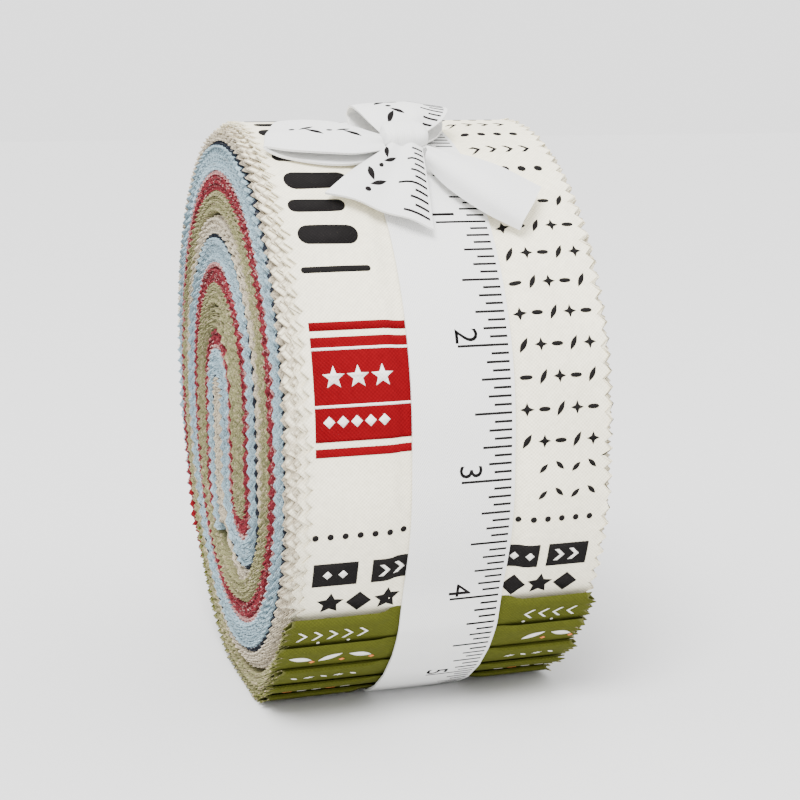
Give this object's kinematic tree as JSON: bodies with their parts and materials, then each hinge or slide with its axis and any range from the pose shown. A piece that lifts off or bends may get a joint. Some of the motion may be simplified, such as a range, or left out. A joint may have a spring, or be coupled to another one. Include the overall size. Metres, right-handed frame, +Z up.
{
  "type": "tied roll of precut fabric strips",
  "caption": "Round roll of narrow precut cotton strips wound together, lying on its round side and tied with a tape and a bow.",
  "frame": {"origin": "on the floor, at the middle of the small flat spot under the tie", "axes": "+X along the roll, away from the end that shows the spiral; -Y to the front, where the outer strips end; +Z up"},
  "size_m": [0.0664, 0.1101, 0.1279],
  "materials": {
    "strips": "plain-woven printed cotton in cream, olive, red, blue and tan, with pinked edges",
    "tape": "white twill tape printed with ruler marks"
  },
  "bodies": {
    "root": {"roll": "strips", "ribbon_band": "tape", "knot": "tape", "loop_left": "tape", "loop_back": "tape", "tail_left": "tape", "tail_right": "tape"}
  },
  "joints": []
}
